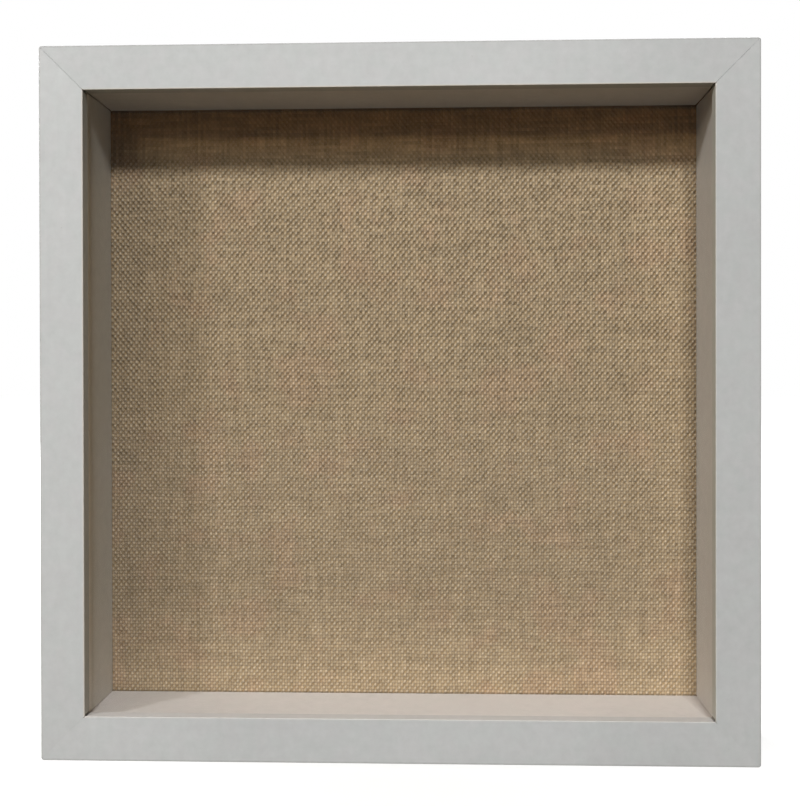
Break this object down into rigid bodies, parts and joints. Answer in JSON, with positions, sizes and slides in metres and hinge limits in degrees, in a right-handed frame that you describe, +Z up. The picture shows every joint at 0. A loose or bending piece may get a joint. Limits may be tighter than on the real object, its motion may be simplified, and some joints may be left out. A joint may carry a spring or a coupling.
{
  "type": "picture frame",
  "caption": "Square deep shadow-box picture frame in white painted wood, with a mitred moulding, glazing, an inner liner and a linen-covered back panel held by turn buttons.",
  "frame": {"origin": "middle of the frame's footprint, on the underside of the bottom rail", "axes": "+Z up, +X to the right seen from the front, the front face looks along -Y and the back along +Y"},
  "size_m": [0.275, 0.0468, 0.275],
  "materials": {
    "painted_wood": "satin white paint",
    "painted_liner": "satin white paint",
    "picture_glass": "clear, low reflection",
    "linen": "plain weave, natural",
    "softboard": "soft fibre board",
    "hardboard": "brown hardboard",
    "steel": "zinc plated",
    "brass": "brass plated, satin",
    "felt": "pressed felt"
  },
  "bodies": {
    "frame": {"top_rail": "painted_wood", "bottom_rail": "painted_wood", "left_stile": "painted_wood", "right_stile": "painted_wood", "liner_top": "painted_liner", "liner_bottom": "painted_liner", "liner_left": "painted_liner", "liner_right": "painted_liner", "glazing_pane": "picture_glass", "corner_nail_bottom_left_1": "steel", "corner_nail_bottom_left_2": "steel", "corner_nail_bottom_right_1": "steel", "corner_nail_bottom_right_2": "steel", "corner_nail_top_left_1": "steel", "corner_nail_top_left_2": "steel", "corner_nail_top_right_1": "steel", "corner_nail_top_right_2": "steel", "button_screw_bottom_left": "steel", "button_screw_bottom_right": "steel", "button_screw_left_upper": "steel", "button_screw_left_lower": "steel", "button_screw_top_left": "steel", "button_screw_top_right": "steel", "button_screw_right_upper": "steel", "button_screw_right_lower": "steel", "hanger": "brass", "hanger_nail_left": "steel", "hanger_nail_right": "steel", "bumper_bottom_left": "felt", "bumper_bottom_right": "felt", "bumper_top_left": "felt", "bumper_top_right": "felt"},
    "back_panel": {"linen_cover": "linen", "pin_board": "softboard", "back_board": "hardboard"},
    "turn_button_bottom_left": {"turn_button_bottom_left": "brass"},
    "turn_button_bottom_right": {"turn_button_bottom_right": "brass"},
    "turn_button_left_upper": {"turn_button_left_upper": "brass"},
    "turn_button_left_lower": {"turn_button_left_lower": "brass"},
    "turn_button_top_left": {"turn_button_top_left": "brass"},
    "turn_button_top_right": {"turn_button_top_right": "brass"},
    "turn_button_right_upper": {"turn_button_right_upper": "brass"},
    "turn_button_right_lower": {"turn_button_right_lower": "brass"}
  },
  "joints": [
    {"name": "back_panel_slide", "type": "slide", "parent": "frame", "child": "back_panel", "axis": [0, 1, 0], "range_m": [0, 0.05]},
    {"name": "button_bottom_left_turn", "type": "hinge", "parent": "frame", "child": "turn_button_bottom_left", "pos_m": [-0.07, 0.02045, 0.005], "axis": [0, 1, 0], "range_deg": [-90, 0]},
    {"name": "button_bottom_right_turn", "type": "hinge", "parent": "frame", "child": "turn_button_bottom_right", "pos_m": [0.07, 0.02045, 0.005], "axis": [0, -1, 0], "range_deg": [-90, 0]},
    {"name": "button_left_upper_turn", "type": "hinge", "parent": "frame", "child": "turn_button_left_upper", "pos_m": [-0.1325, 0.02045, 0.2075], "axis": [0, 1, 0], "range_deg": [-90, 0]},
    {"name": "button_left_lower_turn", "type": "hinge", "parent": "frame", "child": "turn_button_left_lower", "pos_m": [-0.1325, 0.02045, 0.0675], "axis": [0, -1, 0], "range_deg": [-90, 0]},
    {"name": "button_top_right_turn", "type": "hinge", "parent": "frame", "child": "turn_button_top_right", "pos_m": [0.07, 0.02045, 0.27], "axis": [0, 1, 0], "range_deg": [-90, 0]},
    {"name": "button_top_left_turn", "type": "hinge", "parent": "frame", "child": "turn_button_top_left", "pos_m": [-0.07, 0.02045, 0.27], "axis": [0, -1, 0], "range_deg": [-90, 0]},
    {"name": "button_right_lower_turn", "type": "hinge", "parent": "frame", "child": "turn_button_right_lower", "pos_m": [0.1325, 0.02045, 0.0675], "axis": [0, 1, 0], "range_deg": [-90, 0]},
    {"name": "button_right_upper_turn", "type": "hinge", "parent": "frame", "child": "turn_button_right_upper", "pos_m": [0.1325, 0.02045, 0.2075], "axis": [0, -1, 0], "range_deg": [-90, 0]}
  ]
}
